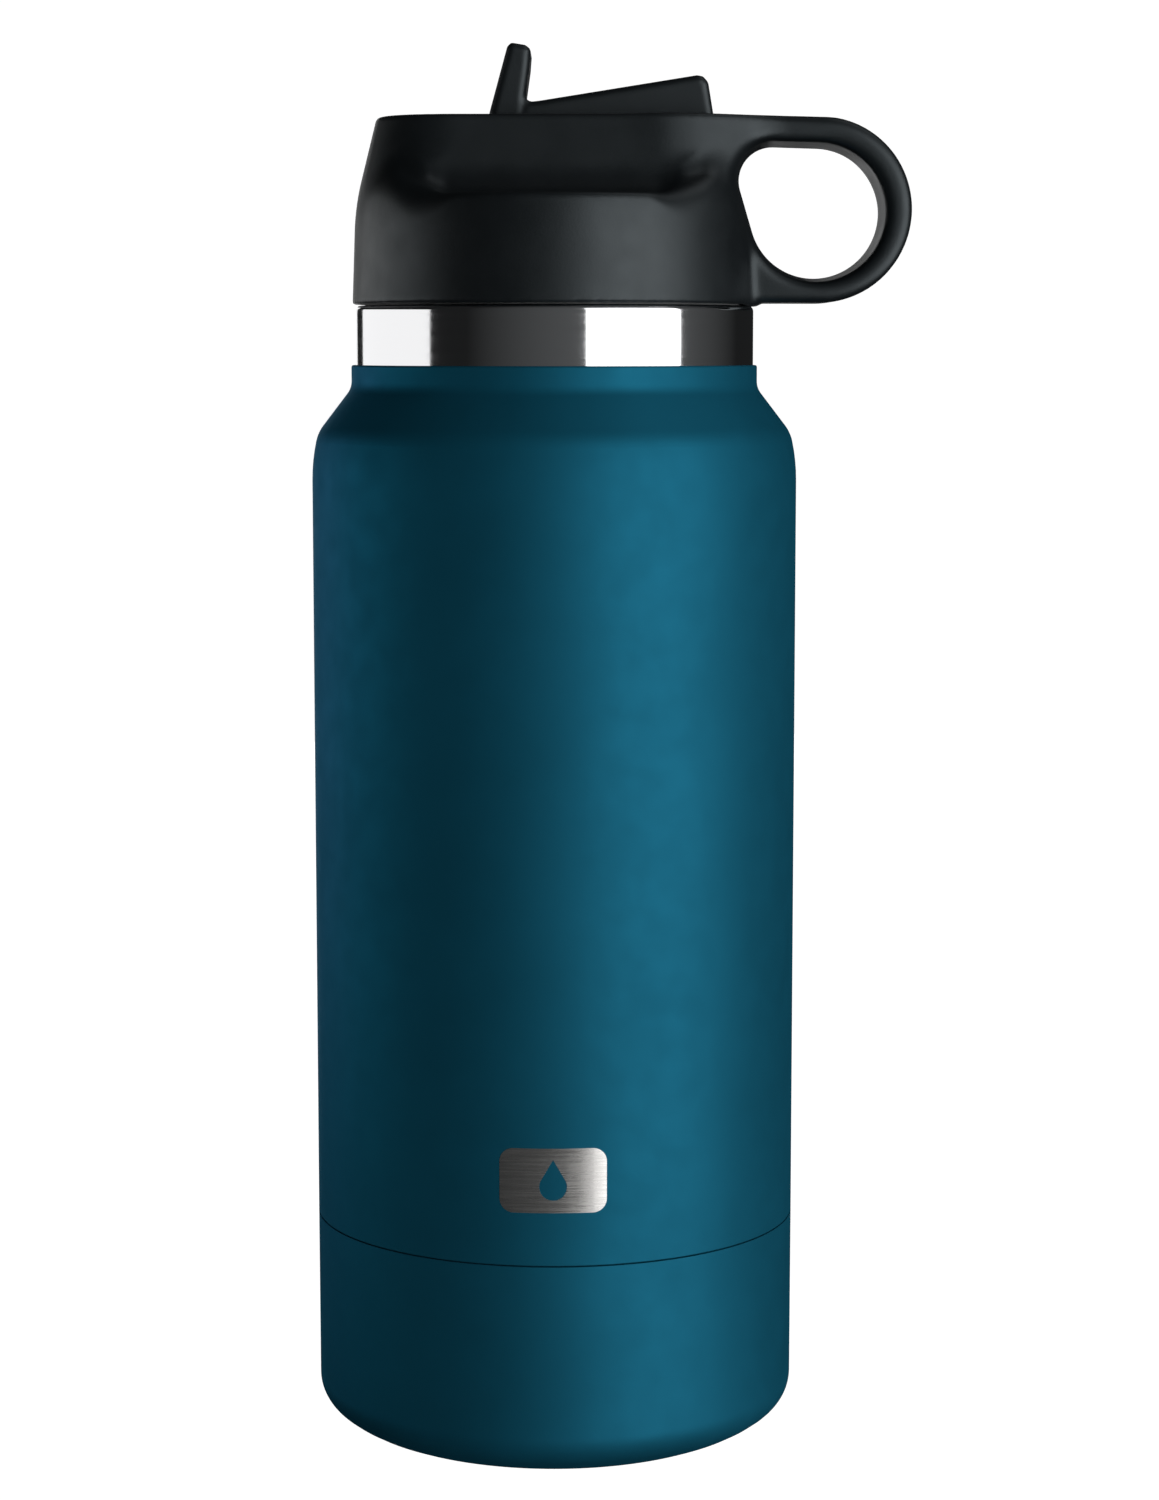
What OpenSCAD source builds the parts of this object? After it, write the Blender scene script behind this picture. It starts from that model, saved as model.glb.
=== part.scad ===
// Vacuum-insulated steel water bottle with a screw-in straw lid, a carry loop and a flush pull-off base cup.
// Millimetres. +Z is up, the bottle's axis is Z, the loop points along +X and the bottle rests on z = 0.

/* [Body] */
// Outer radius of the straight body
body_r = 36.5; // [36:0.1:37]
// Height of the painted shell's top edge
shell_top_z = 163; // [162.4:0.1:163.4]
// Wall of the painted outer shell
shell_wall = 0.6; // [0.5:0.05:0.7]
// Outer radius of the inner liner
liner_r = 32.5; // [32:0.1:33]
// Wall of the inner liner
liner_wall = 0.5; // [0.4:0.05:0.6]

/* [Shoulder] */
// Slope of the shoulder, from the vertical
shoulder_slope = 37.4; // [36:0.1:39]
// Long blend between the straight body and the shoulder
shoulder_blend_r = 28; // [26:1:30]
// Tight blend at the shoulder's corner
shoulder_corner_r = 6; // [5:0.5:7]
// Hollow blend between the shoulder and the collar
collar_blend_r = 3; // [2:0.5:4]

/* [Neck] */
// Outer radius of the polished neck band
band_r = 29.9; // [29.8:0.1:30]
// Height of the drinking lip
lip_z = 171.8; // [171.7:0.1:171.9]
// Radius of the threaded mouth
mouth_r = 27.4; // [27.3:0.05:27.5]
// Rise of the lid for one turn
thread_lead = 4; // [3.9:0.05:4.1]

/* [Base] */
// Height of the seam between the shell and the base cup
seam_z = 33.9; // [32:0.1:35]
// Radius of the shell's foot inside the base cup
foot_r = 34.3; // [34.2:0.1:34.4]
// Wall of the base cup
cup_wall = 0.9; // [0.8:0.05:0.9]
// Corner radius at the bottom of the base cup
cup_corner_r = 7; // [6:0.5:8]
// Radius of the non-slip pad
pad_r = 26; // [22:1:28]

/* [Lid] */
// Height of the lid's flat top
lid_top_z = 199.6; // [199.5:0.1:200]
// Radius of the skirt at its lower edge
skirt_r = 30.3; // [30.2:0.1:30.6]
// Radius of the skirt at the ledge
ledge_r = 29.7; // [29.6:0.1:29.8]
// Height of the ledge below the flat sides
ledge_z = 187.6; // [187:0.2:188]
// Radius of the round nose at the top
nose_r = 26.3; // [26.1:0.1:26.5]
// Half width between the flat sides at the top
side_top = 13; // [12.8:0.2:14]
// Half width between the flat sides at the ledge
side_ledge = 16; // [15.5:0.5:18]

/* [Carry loop] */
// Distance of the loop's centre from the bottle's axis
loop_x = 39.3; // [39:0.1:39.6]
// Outer radius of the loop
loop_r = 13.6; // [13.5:0.05:13.7]
// Width of the loop, front to back
loop_w = 16; // [14:0.5:17]

/* [Spout] */
// Height of the spout's pivot
pivot_z = 194.6; // [194.5:0.1:194.7]
// Radius of the spout's drum
drum_r = 6; // [5.9:0.05:6]
// Width of the spout, front to back
spout_w = 15; // [14:0.5:15]
// Radius of the drinking channel
channel_r = 2.6; // [2.2:0.1:2.8]

/* [Straw] */
// Outer radius of the straw
straw_r = 3.6; // [3.4:0.1:3.8]
// Height of the straw's lower end
straw_end_z = 16; // [14:1:24]

/* [Hidden] */
$fn = 96;

teal = [0.05, 0.27, 0.35];
black = [0.06, 0.065, 0.07];
steel = [0.78, 0.78, 0.8];

slip = 0.1;                                // gap of a fit that turns or slides
seam_gap = 0.2;                            // open line between the shell and the base cup
collar_r = band_r + shell_wall;            // outer radius of the shell round the neck
pivot_x = -4;                              // the spout's pivot, off the bottle's axis
channel_tilt = 9.3;                        // slope of the closed spout
plug_r = 26;                               // core radius of the lid's threaded plug
plug_bottom_z = 158.3;
plug_floor_z = 159.9;                      // inside of the plug's floor
thread_height = 1;
thread_foot = 1.9;                         // width of a thread ridge at its foot
thread_crest = 0.9;                        // width of a thread ridge at its crest
thread_sink = 0.25;                        // depth a ridge is rooted in its wall
gasket_seat_z = lip_z - 2.1;
cup_bottom_z = 0.8;
pad_recess = 0.8;
foot_bottom_z = 7;
cavity_r = 27;                             // hollow of the lid, above the plug's flange
cavity_top_z = 185.5;
flange_r = 28.4;
flange_top_z = lip_z + 2.2;
skirt_z = lip_z + 0.2;                     // lower edge of the lid

// ---- outlines -------------------------------------------------------------

// A list of points in the opposite order.
function reversed(points) = [for (i = [len(points) - 1 : -1 : 0]) points[i]];

// Points of an arc, from angle a0 to a1 in n steps.
function arc(cx, cy, r, a0, a1, n = 8) =
    [for (i = [0:n]) [cx + r * cos(a0 + (a1 - a0) * i / n), cy + r * sin(a0 + (a1 - a0) * i / n)]];

// The shoulder, worked down from the collar to the height where the straight body ends.
shoulder_turn = 12;                        // where the long blend hands over to the corner blend
corner_end_r = body_r - shoulder_blend_r * (1 - cos(shoulder_turn))
    - shoulder_corner_r * (cos(shoulder_turn) - cos(shoulder_slope));
collar_foot_r = collar_r + collar_blend_r * (1 - cos(shoulder_slope));
collar_foot_z = shell_top_z - 2.4 - collar_blend_r * sin(shoulder_slope);
corner_end_z = collar_foot_z - (corner_end_r - collar_foot_r) / tan(shoulder_slope);
corner_start_z = corner_end_z - shoulder_corner_r * (sin(shoulder_slope) - sin(shoulder_turn));
straight_top_z = corner_start_z - shoulder_blend_r * sin(shoulder_turn);

// The shoulder's outline, moved inwards by t, from the straight body up to the collar.
function shoulder(t) = concat(
    arc(body_r - shoulder_blend_r, straight_top_z, shoulder_blend_r - t, 0, shoulder_turn, 6),
    arc(body_r - shoulder_blend_r + (shoulder_blend_r - shoulder_corner_r) * cos(shoulder_turn),
        straight_top_z + (shoulder_blend_r - shoulder_corner_r) * sin(shoulder_turn),
        shoulder_corner_r - t, shoulder_turn + 3, shoulder_slope, 6),
    arc(collar_r + collar_blend_r, shell_top_z - 2.4,
        collar_blend_r + t, 180 + shoulder_slope, 180, 5));

// The cup's outside, from its bottom up to the seam.
cup_run_r = 220;                           // long easing above the corner
cup_run_turn = 3;
cup_corner_x = body_r - cup_run_r * (1 - cos(cup_run_turn)) - cup_corner_r * cos(cup_run_turn);
cup_corner_z = cup_bottom_z + cup_corner_r;
cup_run_z = cup_corner_z - cup_corner_r * sin(cup_run_turn) + cup_run_r * sin(cup_run_turn);
function cup_outside(t) = concat(
    arc(cup_corner_x, cup_corner_z, cup_corner_r - t, -90, -cup_run_turn, 10),
    arc(body_r - cup_run_r, cup_run_z, cup_run_r - t, -cup_run_turn * 0.75, 0, 4));

module ring(r_in, r_out, z0, z1) {
    translate([0, 0, z0])
        difference() {
            cylinder(r = r_out, h = z1 - z0);
            translate([0, 0, -1]) cylinder(r = r_in, h = z1 - z0 + 2);
        }
}

// A bar with its section in the X-Z plane, w wide about y = 0.
module bar(w) {
    translate([0, w / 2, 0]) rotate([90, 0, 0]) linear_extrude(height = w) children();
}

// A cylinder along Y about the point (x, z).
module cross_cylinder(x, z, r, w) {
    translate([x, w / 2, z]) rotate([90, 0, 0]) cylinder(r = r, h = w);
}

// ---- screw threads ----------------------------------------------------------

// A helical ridge from r_foot to r_crest, from angle a0 to a1. Its centre line is at
// z0 + thread_lead * angle / 360, and it runs out into the wall at both ends.
module thread_ridge(r_foot, r_crest, z0, a0, a1, step = 9) {
    n = round((a1 - a0) / step);
    run_out = 3;
    function height(i) = min(1, i / run_out, (n - i) / run_out);
    points = [for (i = [0:n]) let (a = a0 + (a1 - a0) * i / n, z = z0 + thread_lead * a / 360,
            crest = r_foot + (r_crest - r_foot) * (0.12 + 0.88 * height(i)))
        each [for (p = [[r_foot, -thread_foot / 2], [crest, -thread_crest / 2],
                [crest, thread_crest / 2], [r_foot, thread_foot / 2]])
            [p[0] * cos(a), p[0] * sin(a), z + p[1]]]];
    out = r_crest > r_foot;
    sides = [for (i = [0:n - 1], k = [0:3]) let (a = 4 * i + k, b = 4 * i + (k + 1) % 4)
        each out ? [[a, b, a + 4], [b, b + 4, a + 4]] : [[a, a + 4, b], [b, a + 4, b + 4]]];
    last = 4 * n;
    ends = out
        ? [[0, 2, 1], [0, 3, 2], [last, last + 1, last + 2], [last, last + 2, last + 3]]
        : [[0, 1, 2], [0, 2, 3], [last, last + 2, last + 1], [last, last + 3, last + 2]];
    polyhedron(points = points, faces = concat(sides, ends));
}

// ---- base cup ---------------------------------------------------------------

// Painted steel cup that pulls off the foot of the bottle, with a seat for the non-slip pad.
module base_cup() {
    inside_r = body_r - cup_wall;
    inside_corner_r = cup_corner_r - 0.6;
    floor_z = cup_bottom_z + 1.6;
    color(teal) rotate_extrude()
        polygon(concat(
            [[0, cup_bottom_z + pad_recess], [pad_r + 0.1, cup_bottom_z + pad_recess],
             [pad_r + 0.1, cup_bottom_z]],
            cup_outside(0),
            [[body_r, seam_z - seam_gap], [inside_r, seam_z - seam_gap]],
            arc(inside_r - inside_corner_r, floor_z + inside_corner_r, inside_corner_r, 0, -90, 8),
            [[0, floor_z]]));
}

// Silicone band bonded inside the cup. Its ribs grip the foot of the bottle.
module grip_band() {
    outside_r = body_r - cup_wall - 0.05;
    color([0.1, 0.1, 0.11]) {
        ring(foot_r + 0.45, outside_r, 10, seam_z - 2);
        for (z = [13 : 4 : 27]) ring(foot_r + 0.06, foot_r + 0.6, z, z + 1.6);
    }
}

// Foam pad that the foot of the bottle lands on.
module shock_pad() {
    color([0.16, 0.16, 0.17]) difference() {
        translate([0, 0, cup_bottom_z + 1.6])
            cylinder(r = 28, h = foot_bottom_z - cup_bottom_z - 1.65);
        for (a = [0 : 60 : 300]) rotate([0, 0, a]) translate([18, 0, 0]) cylinder(r = 4, h = 20);
    }
}

// Non-slip disc under the cup, with a shallow ring groove.
module foot_pad() {
    color([0.08, 0.08, 0.085]) difference() {
        cylinder(r = pad_r, h = cup_bottom_z + pad_recess);
        translate([0, 0, -0.5]) ring(pad_r - 5, pad_r - 3.5, 0, 1.0);
    }
}

// ---- bottle -----------------------------------------------------------------

badge_z = 46.4;                            // centre of the badge
badge_w = 15.6;
badge_h = 9.6;
badge_depth = 0.2;

// The badge's outline as a prism that runs through the front of the shell.
module badge_prism(shrink) {
    w = badge_w - 2 * shrink;
    h = badge_h - 2 * shrink;
    corner = 2;
    translate([0, -body_r + 4, badge_z]) rotate([90, 0, 0])
        linear_extrude(height = 8) {
            square([w - 2 * corner, h], center = true);
            square([w, h - 2 * corner], center = true);
            for (x = [-1, 1], y = [-1, 1])
                translate([x * (w / 2 - corner), y * (h / 2 - corner)]) circle(r = corner);
        }
}

// Painted steel wall. Its foot steps in, so that the base cup sits flush.
module outer_shell() {
    color(teal) difference() {
        rotate_extrude()
            polygon(concat(
                [[foot_r - shell_wall, foot_bottom_z], [foot_r, foot_bottom_z], [foot_r, seam_z],
                 [body_r, seam_z]],
                shoulder(0),
                [[collar_r, shell_top_z], [band_r, shell_top_z]],
                reversed(shoulder(shell_wall)),
                [[body_r - shell_wall, seam_z + shell_wall], [foot_r - shell_wall, seam_z + shell_wall]]));
        intersection() {
            ring(body_r - badge_depth, body_r + 5, badge_z - 20, badge_z + 20);
            badge_prism(0);
        }
    }
}

// Welded floor of the outer shell, with a dimple round the evacuation hole.
module shell_bottom() {
    rim_r = foot_r - shell_wall - 0.03;
    color(steel) rotate_extrude()
        polygon([[1, 10.6], [4.2, 10.6], [5.2, 9.6], [12, 9.6], [14, 8.6], [rim_r, 8.6], [rim_r, 7.8],
                 [13.6, 7.8], [11.6, 8.8], [4.9, 8.8], [3.8, 9.8], [1, 9.8]]);
}

liner_blend_r = 8;                         // blend of the liner's shoulder
liner_hollow_r = 3;                        // hollow blend under the liner's neck
liner_neck_r = mouth_r + liner_wall;
liner_neck_z = 156.5;                      // where the liner's neck starts
liner_run = (liner_r - liner_blend_r * (1 - cos(shoulder_slope)) - liner_neck_r
    - liner_hollow_r * (1 - cos(shoulder_slope))) / tan(shoulder_slope);
mouth_thread_z = liner_neck_z + 4.5;       // start of the mouth thread
liner_body_top_z = liner_neck_z - (liner_hollow_r + liner_blend_r) * sin(shoulder_slope) - liner_run;

// The liner's shoulder, moved inwards by t, from the body up to the neck.
function liner_shoulder(t) = concat(
    arc(liner_r - liner_blend_r, liner_body_top_z, liner_blend_r - t, 0, shoulder_slope, 7),
    arc(liner_neck_r + liner_hollow_r, liner_neck_z, liner_hollow_r + t, 180 + shoulder_slope, 180, 5));

// Steel liner with the rolled mouth thread and the seat for the gasket.
module inner_liner() {
    w = liner_wall;
    seat_r = band_r - 0.8;
    color(steel) union() {
        rotate_extrude()
            polygon(concat(
                [[liner_r - w, 22], [liner_r, 22]],
                liner_shoulder(0),
                [[liner_neck_r, gasket_seat_z - w], [seat_r, gasket_seat_z - w],
                 [seat_r, gasket_seat_z], [mouth_r, gasket_seat_z]],
                reversed(liner_shoulder(w))));
        thread_ridge(mouth_r + thread_sink, mouth_r - thread_height, mouth_thread_z, 0, 540);
    }
}

// Welded cup that closes the liner.
module liner_bottom() {
    w = liner_wall;
    r = liner_r - w;
    z = 12.4;
    color(steel) rotate_extrude()
        polygon(concat(
            [[0, z + 1.4], [10, z + 1]], arc(r - 7, z + 7, 7, -90, 0, 8), [[r, 25]],
            [[r - w, 25]], arc(r - 7, z + 7, 7 - w, 0, -90, 8), [[10, z + 1 + w], [0, z + 1.4 + w]]));
}

// Polished band with the rolled drinking lip. The painted shell is welded over its lower end.
module neck_band() {
    wall = 0.6;
    lip_round = 0.8;
    weld_z = shell_top_z - 2.8;
    color(steel) rotate_extrude()
        polygon(concat(
            [[band_r - wall, weld_z], [band_r, weld_z]],
            arc(band_r - lip_round, lip_z - lip_round, lip_round, 0, 90, 6),
            [[flange_r + 0.2, lip_z], [flange_r + 0.2, gasket_seat_z], [flange_r + 0.8, gasket_seat_z],
             [flange_r + 0.8, lip_z - wall], [band_r - wall, lip_z - wall]]));
}

// Radiation shield wrapped round the liner in the vacuum gap.
module foil_wrap() {
    color([0.85, 0.86, 0.88]) ring(liner_r + 0.05, liner_r + 0.2, 28, liner_body_top_z - 3);
}

// Capsule that keeps the vacuum clean, spot-welded to the shell's floor.
module getter_capsule() {
    color([0.5, 0.5, 0.52]) translate([20, 0, 8.6]) {
        cylinder(r = 4, h = 1.8);
        translate([0, 0, 1.8]) cylinder(r = 2.5, h = 0.8);
    }
}

// Glass bead melted into the evacuation hole.
module vacuum_seal_bead() {
    color([0.3, 0.4, 0.38]) rotate_extrude()
        polygon([[0, 9.1], [2, 9.3], [2.2, 9.8], [0.97, 9.8], [0.97, 10.6], [0, 10.6]]);
}

// Thin disc spot-welded over the seal.
module seal_cover_disc() {
    color(steel) translate([0, 0, 8.4]) cylinder(r = 6.5, h = 0.4);
}

// Steel badge let into the paint, with a plain drop cut through it.
module badge() {
    drop_r = 2;
    color(steel) difference() {
        intersection() {
            ring(body_r - badge_depth, body_r + 0.03, badge_z - 20, badge_z + 20);
            badge_prism(0.05);
        }
        translate([0, -body_r + 4, badge_z - 0.9]) rotate([90, 0, 0]) linear_extrude(height = 8) {
            circle(r = drop_r);
            polygon([[-drop_r * cos(30), drop_r / 2], [drop_r * cos(30), drop_r / 2], [0, 2 * drop_r]]);
        }
    }
}

// ---- lid --------------------------------------------------------------------

// Soft ring squeezed between the plug's flange and the neck's seat, with a hollow back.
module lid_gasket() {
    seat = gasket_seat_z + 0.05;
    in_r = plug_r + slip;
    color([0.75, 0.76, 0.78]) rotate_extrude()
        polygon([[in_r, seat + 0.3], [in_r + 0.3, seat], [flange_r - 0.3, seat], [flange_r, seat + 0.3],
                 [flange_r, skirt_z], [flange_r - 0.7, skirt_z], [flange_r - 0.9, skirt_z - 0.6],
                 [in_r + 0.9, skirt_z - 0.6], [in_r + 0.7, skirt_z], [in_r, skirt_z]]);
}

loop_z = skirt_z + loop_r;
hole_x = 38.9;                             // round end of the loop's hole
hole_z = 185.5;
hole_r = 9.6;
hole_corner_x = 32.6;                      // tight upper corner of the hole
hole_corner_z = 190.35;
hole_corner_r = 4.95;
recess_half = spout_w / 2 + 0.5;           // channel that the spout folds into
recess_left = -20.8;
recess_right = 25.6;
recess_deep_z = pivot_z - 6.5;
recess_high_z = pivot_z - 3;
recess_step_x = 4;
port_r = 5.6;
pin_r = 1.5;
pin_inner = 4.6;
pin_outer = 11.5;
pin_hole_end = pin_outer + 0.2;
vent_x = 13;

module loop_side_outline() {
    translate([loop_x, loop_z]) circle(r = loop_r);
    translate([15, loop_z - loop_r]) square([loop_x - 15, 2 * loop_r]);
}

// The two round ends of the hole and the straight runs that are tangent to both.
module loop_hole_outline() {
    run = norm([hole_x - hole_corner_x, hole_z - hole_corner_z]);
    lean = atan2(hole_z - hole_corner_z, hole_x - hole_corner_x);
    spread = acos((hole_corner_r - hole_r) / run);
    polygon(concat(
        arc(hole_corner_x, hole_corner_z, hole_corner_r, lean + spread, lean + 360 - spread, 10),
        arc(hole_x, hole_z, hole_r, lean - spread, lean + spread, 24)));
}

// Half of the flare that leads from the lid's flat side to the loop, seen from above.
function flare() = [[15, side_top - 0.2], [20, side_top - 0.5], [24, 11.4], [28, 9.6], [33, loop_w / 2]];

// The carry loop. Its root flares into the flat sides of the lid.
module loop() {
    bar(loop_w) loop_side_outline();
    intersection() {
        bar(2 * side_top) loop_side_outline();
        translate([0, 0, ledge_z]) linear_extrude(height = 20)
            polygon(concat(flare(), reversed([for (p = flare()) [p[0], -p[1]]])));
    }
}

// Skirt, and the narrower head with its two flat sides.
module lid_outside() {
    rotate_extrude()
        polygon([[0, skirt_z], [skirt_r - 0.4, skirt_z], [skirt_r, skirt_z + 0.4],
                 [ledge_r + 0.1, ledge_z - 1.6], [ledge_r - 0.8, ledge_z], [0, ledge_z]]);
    intersection() {
        rotate_extrude()
            polygon([[0, ledge_z - 2], [ledge_r - 0.1, ledge_z - 2], [nose_r + 0.1, lid_top_z - 0.8],
                     [nose_r - 0.6, lid_top_z], [0, lid_top_z]]);
        rotate([90, 0, 90]) translate([0, 0, -40]) linear_extrude(height = 80)
            polygon([[-side_ledge, ledge_z - 2], [side_ledge, ledge_z - 2],
                     [side_top, lid_top_z], [-side_top, lid_top_z]]);
    }
    loop();
}

// Moulded lid with its carry loop, and the channel that the spout folds into.
module lid_shell() {
    color(black) difference() {
        lid_outside();
        bar(60) loop_hole_outline();
        // channel for the spout, in two depths
        translate([recess_left, -recess_half, recess_deep_z])
            cube([recess_step_x - recess_left, 2 * recess_half, 20]);
        translate([recess_step_x - 1, -recess_half, recess_high_z])
            cube([recess_right - recess_step_x + 1, 2 * recess_half, 20]);
        // room for the threaded plug and its flange
        translate([0, 0, skirt_z - 1]) cylinder(r = flange_r + slip, h = flange_top_z - skirt_z + 1);
        translate([0, 0, skirt_z]) cylinder(r = cavity_r, h = cavity_top_z - skirt_z);
        // hinge pins, and the port below the drum
        for (s = [-1, 1]) translate([0, s * (pin_hole_end + recess_half - 1) / 2, 0])
            cross_cylinder(pivot_x, pivot_z, pin_r + 0.02, pin_hole_end - recess_half + 1);
        translate([pivot_x, 0, cavity_top_z - 4]) cylinder(r = port_r, h = 10);
        translate([vent_x, 0, cavity_top_z - 4]) cylinder(r = 0.8, h = 15);
    }
}

tower_r = 5.4;
tower_top_z = 184;
socket_top_z = plug_bottom_z - 0.3;        // top of the straw's socket
plug_hollow_r = plug_r - 2.4;

// Threaded plug, with the tower that leads the drink from the straw's socket to the spout.
module lid_plug() {
    color([0.12, 0.125, 0.13]) difference() {
        union() {
            difference() {
                union() {
                    translate([0, 0, plug_bottom_z]) cylinder(r = plug_r, h = skirt_z - plug_bottom_z + 0.5);
                    translate([0, 0, skirt_z]) cylinder(r = flange_r, h = flange_top_z - skirt_z);
                    translate([0, 0, flange_top_z - 1]) cylinder(r = cavity_r - 0.05, h = 5);
                    thread_ridge(plug_r - thread_sink, plug_r + thread_height, mouth_thread_z - 2, 90, 720);
                }
                translate([0, 0, plug_floor_z]) cylinder(r = plug_hollow_r, h = 30);
                translate([vent_x, 0, 150]) cylinder(r = 1.6, h = 40);
            }
            translate([pivot_x, 0, 150]) cylinder(r = tower_r, h = tower_top_z - 150);
        }
        translate([pivot_x, 0, 149]) cylinder(r = channel_r + 0.1, h = 40);
        translate([pivot_x, 0, 149]) cylinder(r = straw_r + 0.05, h = socket_top_z - 149);
    }
}

// Foam ring that fills the plug's hollow.
module lid_foam() {
    color([0.85, 0.83, 0.75]) difference() {
        translate([0, 0, plug_floor_z + 0.05]) cylinder(r = plug_hollow_r - 0.1, h = 24);
        translate([pivot_x, 0, 150]) cylinder(r = tower_r + 0.1, h = 40);
        translate([vent_x, 0, 150]) cylinder(r = 3.2, h = 40);
    }
}

// Two steel pins that hold the spout in the lid, one from each side.
module hinge_pins() {
    middle = (pin_inner + pin_outer) / 2;
    color(steel) for (s = [-1, 1]) translate([0, s * middle, 0])
        cross_cylinder(pivot_x, pivot_z, pin_r, pin_outer - pin_inner);
}

// Soft ring that the spout's drum turns on. It seals the port.
module spout_seal() {
    color([0.2, 0.2, 0.21]) difference() {
        translate([pivot_x, 0, tower_top_z])
            cylinder(r = port_r - 0.05, h = pivot_z - drum_r + 0.2 - tower_top_z);
        translate([pivot_x, 0, tower_top_z - 1]) cylinder(r = channel_r + 0.1, h = 10);
        cross_cylinder(pivot_x, pivot_z, drum_r + slip, 20);
    }
}

// Straw that hangs from the plug's socket, with a notched lower end.
module straw() {
    color([0.85, 0.87, 0.88]) difference() {
        translate([pivot_x, 0, straw_end_z]) cylinder(r = straw_r, h = socket_top_z - slip - straw_end_z);
        translate([pivot_x, 0, straw_end_z - 1]) cylinder(r = straw_r - 0.8, h = 200);
        translate([pivot_x - 5, -0.8, straw_end_z - 1]) cube([10, 1.6, 4]);
    }
}

// Silicone valve that lets air in as the bottle is drunk from.
module vent_valve() {
    head_z = plug_floor_z + 0.05;
    color([0.9, 0.9, 0.88]) difference() {
        translate([vent_x, 0, 0]) rotate_extrude()
            polygon([[0, plug_bottom_z - 3], [0.6, plug_bottom_z - 3], [1.5, plug_bottom_z], [1.5, head_z],
                     [2.8, head_z], [2.8, head_z + 0.9], [0, head_z + 0.9]]);
        translate([vent_x, 0, plug_bottom_z - 2]) cylinder(r = 0.5, h = 10);
    }
}

// ---- spout --------------------------------------------------------------------

// The folded spout: its drum, the thumb tab that stands up, and the nozzle that lies in the channel.
module spout_body() {
    cross_cylinder(pivot_x, pivot_z, drum_r, spout_w);
    bar(spout_w)
        polygon([[-9.8, 195.6], [-9.7, 199.2], [-7.1, 209.5], [-6.6, 210], [-4.1, 209.8], [-3.6, 209.3],
                 [-3.5, 207.5], [-4.2, 202.1], [-3.9, 201.6], [-3, 194.1]]);
    bar(spout_w)
        polygon([[-5, 193.1], [-4.1, 201.5], [20.9, 205.5], [22, 205.3], [22.6, 204.5], [24.4, 193.4],
                 [23.8, 192.1], [1, 192.1], [-4, 190.1]]);
}

// Spout with its drinking channel. It turns on the hinge pins.
module spout() {
    color(black) difference() {
        spout_body();
        for (s = [-1, 1]) translate([0, s * (pin_inner - slip + 5), 0])
            cross_cylinder(pivot_x, pivot_z, pin_r + 0.05, 10);
        translate([pivot_x, 0, pivot_z]) rotate([0, 90 - channel_tilt, 0])
            translate([0, 0, -10]) cylinder(r = channel_r, h = 45);
    }
}

base_cup();
grip_band();
shock_pad();
foot_pad();
outer_shell();
shell_bottom();
inner_liner();
liner_bottom();
neck_band();
foil_wrap();
getter_capsule();
vacuum_seal_bead();
seal_cover_disc();
badge();
lid_gasket();
lid_shell();
lid_plug();
lid_foam();
hinge_pins();
spout_seal();
straw();
vent_valve();
spout();
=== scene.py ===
"""A vacuum-insulated steel bottle with a straw lid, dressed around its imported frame. Units are metres."""

import math

import bmesh
import bpy
import numpy as np
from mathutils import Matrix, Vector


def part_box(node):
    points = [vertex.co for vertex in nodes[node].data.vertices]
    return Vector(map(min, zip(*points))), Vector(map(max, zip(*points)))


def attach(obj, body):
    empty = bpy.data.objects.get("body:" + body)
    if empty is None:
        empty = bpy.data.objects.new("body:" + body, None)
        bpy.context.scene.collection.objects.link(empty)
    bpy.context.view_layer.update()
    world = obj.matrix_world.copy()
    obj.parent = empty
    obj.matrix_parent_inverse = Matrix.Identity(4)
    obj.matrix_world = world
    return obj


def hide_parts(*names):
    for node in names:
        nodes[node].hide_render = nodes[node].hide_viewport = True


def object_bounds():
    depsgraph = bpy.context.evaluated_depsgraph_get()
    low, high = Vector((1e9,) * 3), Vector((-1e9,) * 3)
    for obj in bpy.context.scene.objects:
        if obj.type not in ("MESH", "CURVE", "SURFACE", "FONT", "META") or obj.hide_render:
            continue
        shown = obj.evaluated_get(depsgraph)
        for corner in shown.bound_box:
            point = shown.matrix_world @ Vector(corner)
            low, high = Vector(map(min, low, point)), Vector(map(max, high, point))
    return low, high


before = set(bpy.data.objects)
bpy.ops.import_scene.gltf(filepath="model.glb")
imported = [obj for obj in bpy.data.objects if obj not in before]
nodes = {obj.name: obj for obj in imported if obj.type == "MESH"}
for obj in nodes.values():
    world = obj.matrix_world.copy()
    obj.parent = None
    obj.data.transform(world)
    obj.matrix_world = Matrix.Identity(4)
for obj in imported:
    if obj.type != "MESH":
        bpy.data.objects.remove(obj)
cad_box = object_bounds()
MM = 0.001

# ---- base cup ---------------------------------------------------------------
# Deep-drawn steel cup, powder coated with the body and flush with it. It pulls off the foot of the
# bottle, and only a hairline shows where the two paint edges meet.


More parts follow.
